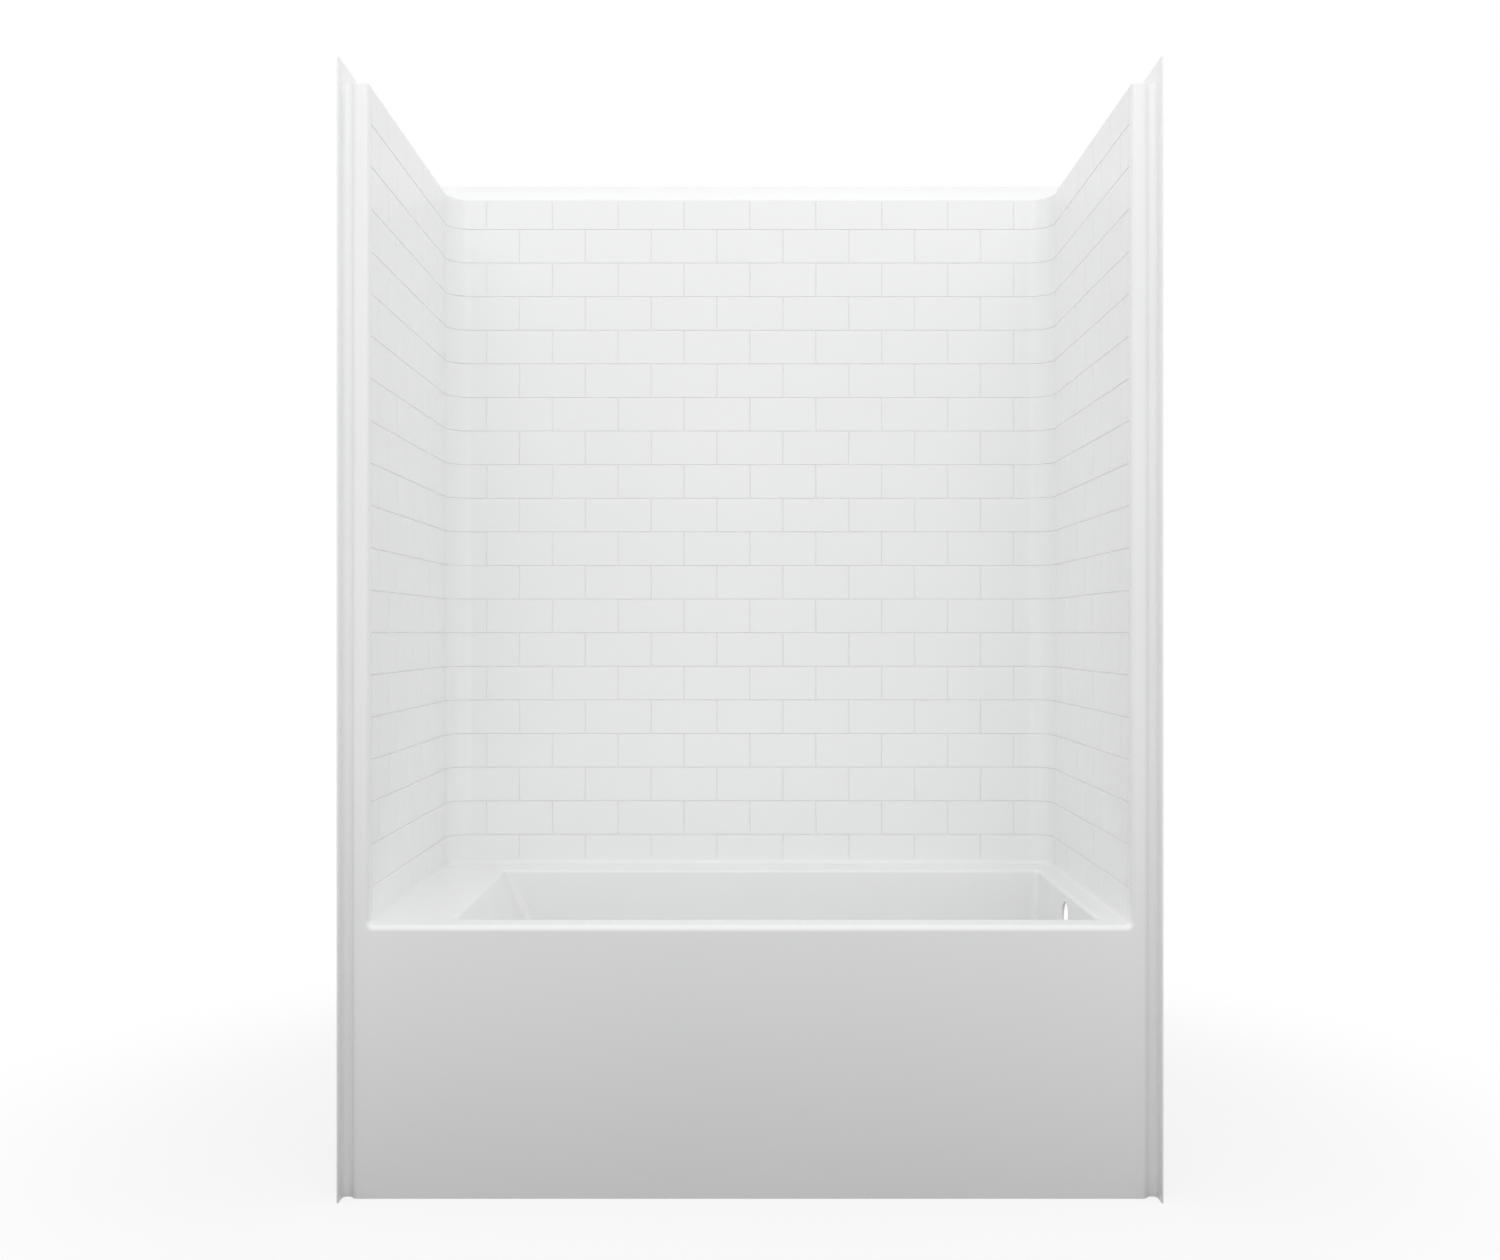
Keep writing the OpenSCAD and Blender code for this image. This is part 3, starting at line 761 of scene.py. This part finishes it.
def laminate():
    """Rough glass-fibre back of the moulding: chopped strands in pale resin."""
    n = Nodes("laminate")
    strands = None
    for turn, wide in ((0.3, 1.0), (1.2, 0.8), (2.1, 1.1), (2.8, 0.9)):
        here = n.noise(n.mapped((26 * wide, 190, 60), (turn, turn * 1.7, turn)), 1.0, 2, 0.5, 0.4)
        strands = here if strands is None else n.math("MAXIMUM", strands, here)
    blotches = n.noise(n.mapped((1, 1, 1)), 6, 4)
    body = n.ramp(strands, (0.5, (0.60, 0.57, 0.47)), (0.72, (0.76, 0.74, 0.66)))
    resin = n.ramp(blotches, (0.4, 0.0), (0.75, 0.5))
    n.link(n.mix(resin, body, (0.66, 0.61, 0.47)), n.shader.inputs["Base Color"])
    n.link(n.ramp(blotches, (0.3, 0.45), (0.7, 0.75)), n.shader.inputs["Roughness"])
    n.link(n.bump(strands, 0.6, 0.0012), n.shader.inputs["Normal"])
    return n.material


def timber(name, grain_axis):
    """Sawn softwood, with its grain along X (0), Y (1) or Z (2)."""
    n = Nodes(name)

    def stretched(along, across):
        return tuple(along if axis == grain_axis else across for axis in range(3))

    rings = n.noise(n.mapped(stretched(0.9, 17)), 1.0, 3, 0.5, 1.2)
    fibres = n.noise(n.mapped(stretched(5, 420)), 1.0, 3, 0.6)
    bands = n.math("FRACT", n.math("MULTIPLY", rings, 7.0))
    wood = n.ramp(bands, (0.0, (0.71, 0.52, 0.31)), (0.7, (0.63, 0.43, 0.23)), (1.0, (0.50, 0.31, 0.15)))
    streaks = n.ramp(fibres, (0.35, 0.0), (0.75, 0.55))
    n.link(n.mix(streaks, wood, (0.78, 0.62, 0.42)), n.shader.inputs["Base Color"])
    n.link(n.ramp(fibres, (0.2, 0.62), (0.8, 0.82)), n.shader.inputs["Roughness"])
    n.link(n.bump(fibres, 0.35, 0.0005), n.shader.inputs["Normal"])
    return n.material


# Thickness of two plies
PLY_PAIR_T = 0.0048


def plywood(name, thin_axis, grain_axis):
    """Board with a wide grain on its faces and its plies on its edges."""
    n = Nodes(name)
    scale = tuple(1.6 if axis == grain_axis else 9 for axis in range(3))
    figure = n.math("FRACT", n.math("MULTIPLY", n.noise(n.mapped(scale), 1.0, 2, 0.5, 0.8), 6.0))
    face = n.ramp(figure, (0.0, (0.74, 0.58, 0.38)), (0.8, (0.66, 0.49, 0.29)), (1.0, (0.58, 0.41, 0.23)))
    parts = n.add("ShaderNodeSeparateXYZ")
    n.link(n.place, parts.inputs[0])
    plies = n.math("FRACT", n.math("MULTIPLY", parts.outputs[thin_axis], 1 / PLY_PAIR_T))
    light_ply = n.math("GREATER_THAN", plies, 0.5)
    edge = n.ramp(light_ply, (0.0, (0.42, 0.28, 0.15)), (1.0, (0.70, 0.54, 0.34)))
    facing = n.add("ShaderNodeSeparateXYZ")
    n.link(n.add("ShaderNodeNewGeometry").outputs["Normal"], facing.inputs[0])
    on_face = n.math("GREATER_THAN", n.math("ABSOLUTE", facing.outputs[thin_axis]), 0.5)
    n.link(n.mix(on_face, edge, face), n.shader.inputs["Base Color"])
    fibres = n.noise(n.mapped(tuple(8 if axis == grain_axis else 300 for axis in range(3))), 1.0, 2)
    n.link(n.ramp(fibres, (0.2, 0.55), (0.8, 0.75)), n.shader.inputs["Roughness"])
    n.link(n.bump(fibres, 0.2, 0.0004), n.shader.inputs["Normal"])
    return n.material


# Pieces of the moulding, and the solids that each stands for
def add_pieces():
    face, back = gelcoat(), laminate()
    corner, side = wall_corner(), side_wall()

    def left(skin):
        both = skin.mirrored()
        count = len(skin.points)
        only = Skin()
        only._add(both.points[count:], both.normals[count:], both.depths[count:])
        only.faces = [tuple(i - count for i in f) for f in both.faces if f[0] >= count]
        return only

    moulding = (
        ("tub_basin", basin(), ("basin_floor", "basin_backrest", "basin_drain_end", "basin_front",
                                "basin_back")),
        ("rim_deck", deck(), ("tub_deck", "left_deck_cove", "right_deck_cove", "back_deck_cove")),
        ("front_panel", front(), ("apron", "rim_roll", "left_column", "right_column")),
        ("tiled_wall_right", side, ("right_wall",)),
        ("tiled_wall_left", left(side), ("left_wall",)),
        ("tiled_wall_back", back_wall(), ("back_wall",)),
        ("tiled_corner_right", corner, ("right_corner",)),
        ("tiled_corner_left", left(corner), ("left_corner",)),
        ("top_ledge", ledge(), ("left_ledge", "right_ledge", "back_ledge")),
        ("nailing_flange", nailing_flange(), ("left_front_flange", "right_front_flange",
                                              "left_top_flange", "right_top_flange",
                                              "back_top_flange")),
    )
    for name, skin, nodes in moulding:
        piece = skin.build(name, face, face if name == "nailing_flange" else back)
        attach(piece, "root")
        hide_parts(*nodes)


def dress_supports():
    """Timbers and boards keep their solids and get their wood."""
    along = [timber(f"timber_{axis}", k) for k, axis in enumerate("xyz")]
    lying, standing = plywood("board_level", 2, 0), plywood("board_upright", 0, 2)
    woods = {
        "cross_bearers": along[1], "floor_runners": along[0],
        "apron_sill": along[0], "apron_ribs": along[2],
        "back_deck_rail": along[0], "left_deck_rail": along[1], "back_wall_battens": along[0],
        "left_wall_battens": along[1], "right_wall_battens": along[1],
        "floor_board": lying, "drain_pad": lying, "valve_board": standing,
    }
    for node, wood in woods.items():
        mesh = frame["nodes"][node].data
        mesh.materials.clear()
        mesh.materials.append(wood)


# Stage. The surroundings are seen and mirrored white, and light the object less than that.
WORLD_FILL = 0.66
FLOOR_RADIUS = 2.0
FLOOR_STEPS = 96
FLOOR_COLOUR = (0.8, 0.8, 0.8)
FLOOR_BOUNCE = (0.02, 0.02, 0.02)
# Share of the floor's look that is plain white where it lies under the object
FLOOR_GLOW = 0.8


def add_camera():
    camera = bpy.data.objects.new("camera", bpy.data.cameras.new("camera"))
    bpy.context.scene.collection.objects.link(camera)
    camera.location = CAMERA_PLACE
    camera.rotation_euler = (math.pi / 2, 0, 0)
    camera.data.sensor_width = SENSOR_W
    camera.data.lens = SENSOR_W * PHOTO_FOCAL_PX / PHOTO_W
    camera.data.shift_y = (PHOTO_HORIZON_PX - PHOTO_H / 2) / PHOTO_W
    bpy.context.scene.camera = camera


def seen_rays(tree):
    """1 where a surface is seen, straight, mirrored or through glass, and 0 where it only lights."""
    rays = tree.nodes.new("ShaderNodeLightPath").outputs
    seen = rays["Is Camera Ray"]
    for kind in ("Is Glossy Ray", "Is Transmission Ray"):
        either = tree.nodes.new("ShaderNodeMath")
        either.operation = "MAXIMUM"
        tree.links.new(seen, either.inputs[0])
        tree.links.new(rays[kind], either.inputs[1])
        seen = either.outputs[0]
    return seen


def add_world():
    """White where it is seen, and a plain grey fill light otherwise."""
    world = bpy.data.worlds.new("studio")
    bpy.context.scene.world = world
    world.use_nodes = True
    nodes, links = world.node_tree.nodes, world.node_tree.links
    background = nodes["Background"]
    background.inputs["Color"].default_value = (1, 1, 1, 1)
    strength = nodes.new("ShaderNodeMix")
    strength.inputs["A"].default_value = WORLD_FILL
    strength.inputs["B"].default_value = 1.0
    links.new(seen_rays(world.node_tree), strength.inputs["Factor"])
    links.new(strength.outputs["Result"], background.inputs["Strength"])


def add_lamp(name, place, aim, width, height, watts):
    light = bpy.data.lights.new(name, "AREA")
    light.shape = "RECTANGLE"
    light.size, light.size_y, light.energy = width, height, watts
    lamp = bpy.data.objects.new(name, light)
    bpy.context.scene.collection.objects.link(lamp)
    lamp.location = place
    lamp.rotation_euler = (Vector(aim) - Vector(place)).to_track_quat("-Z", "Y").to_euler()
    lamp.visible_camera = False


def add_lamps():
    """A wide softbox high above, one high in front, one over each side that lights the wall across from
    it, a strip behind the camera that the middle of each glossy face mirrors, and a faint lamp by each
    column's foot."""
    add_lamp("overhead", (0, -0.3, 8.0), (0, -0.2, 0), 8.0, 5.0, 30)
    add_lamp("front", (0, -2.6, 3.6), (0, 0, 1.0), 3.0, 2.0, 29)
    add_lamp("strip", (0, -4.2, 1.3), (0, 0, 1.3), 1.1, 2.6, 8)
    for side in (-1, 1):
        add_lamp(f"side_{side}", (3.2 * side, -0.1, 5.0), (0, 0, 1.0), 1.6, 1.6, 17)
        add_lamp(f"flank_{side}", (1.7 * side, -1.3, 0.5), (0.7 * side, -0.4, 0.5), 0.8, 1.0, 1.7)


def add_floor():
    """Pale round floor, white where it is lit and greyer in the object's shadow. It turns into the
    white surroundings towards its edge, and sends little light back up."""
    mesh = bpy.data.meshes.new("floor")
    turns = np.linspace(0, 2 * math.pi, FLOOR_STEPS, endpoint=False)
    rim = [(FLOOR_RADIUS * math.cos(t), FLOOR_RADIUS * math.sin(t), 0) for t in turns]
    mesh.from_pydata(rim, [], [tuple(range(len(rim)))])
    floor = bpy.data.objects.new("floor", mesh)
    bpy.context.scene.collection.objects.link(floor)
    n = Nodes("floor")
    rays = n.add("ShaderNodeLightPath").outputs
    n.link(n.mix(rays["Is Diffuse Ray"], FLOOR_COLOUR, FLOOR_BOUNCE), n.shader.inputs["Base Color"])
    n.shader.inputs["Roughness"].default_value = 0.9
    n.shader.inputs["Specular IOR Level"].default_value = 0.0
    away = n.add("ShaderNodeVectorMath", operation="LENGTH")
    n.link(n.place, away.inputs[0])
    glow_part = n.add("ShaderNodeMapRange", interpolation_type="SMOOTHSTEP")
    settings = {"From Min": FLOOR_RADIUS / 2, "From Max": FLOOR_RADIUS,
                "To Min": FLOOR_GLOW, "To Max": 1.0}
    for key, value in settings.items():
        glow_part.inputs[key].default_value = value
    n.link(away.outputs["Value"], glow_part.inputs["Value"])
    mixed = n.add("ShaderNodeMixShader")
    n.link(n.math("MULTIPLY", seen_rays(n.tree), glow_part.outputs["Result"]), mixed.inputs[0])
    n.link(n.shader.outputs[0], mixed.inputs[1])
    n.link(n.add("ShaderNodeEmission").outputs[0], mixed.inputs[2])
    n.link(mixed.outputs[0], n.tree.nodes["Material Output"].inputs["Surface"])
    mesh.materials.append(n.material)


add_camera()
bpy.context.scene.view_settings.view_transform = "Standard"
add_world()
add_lamps()
add_floor()
add_pieces()
dress_supports()
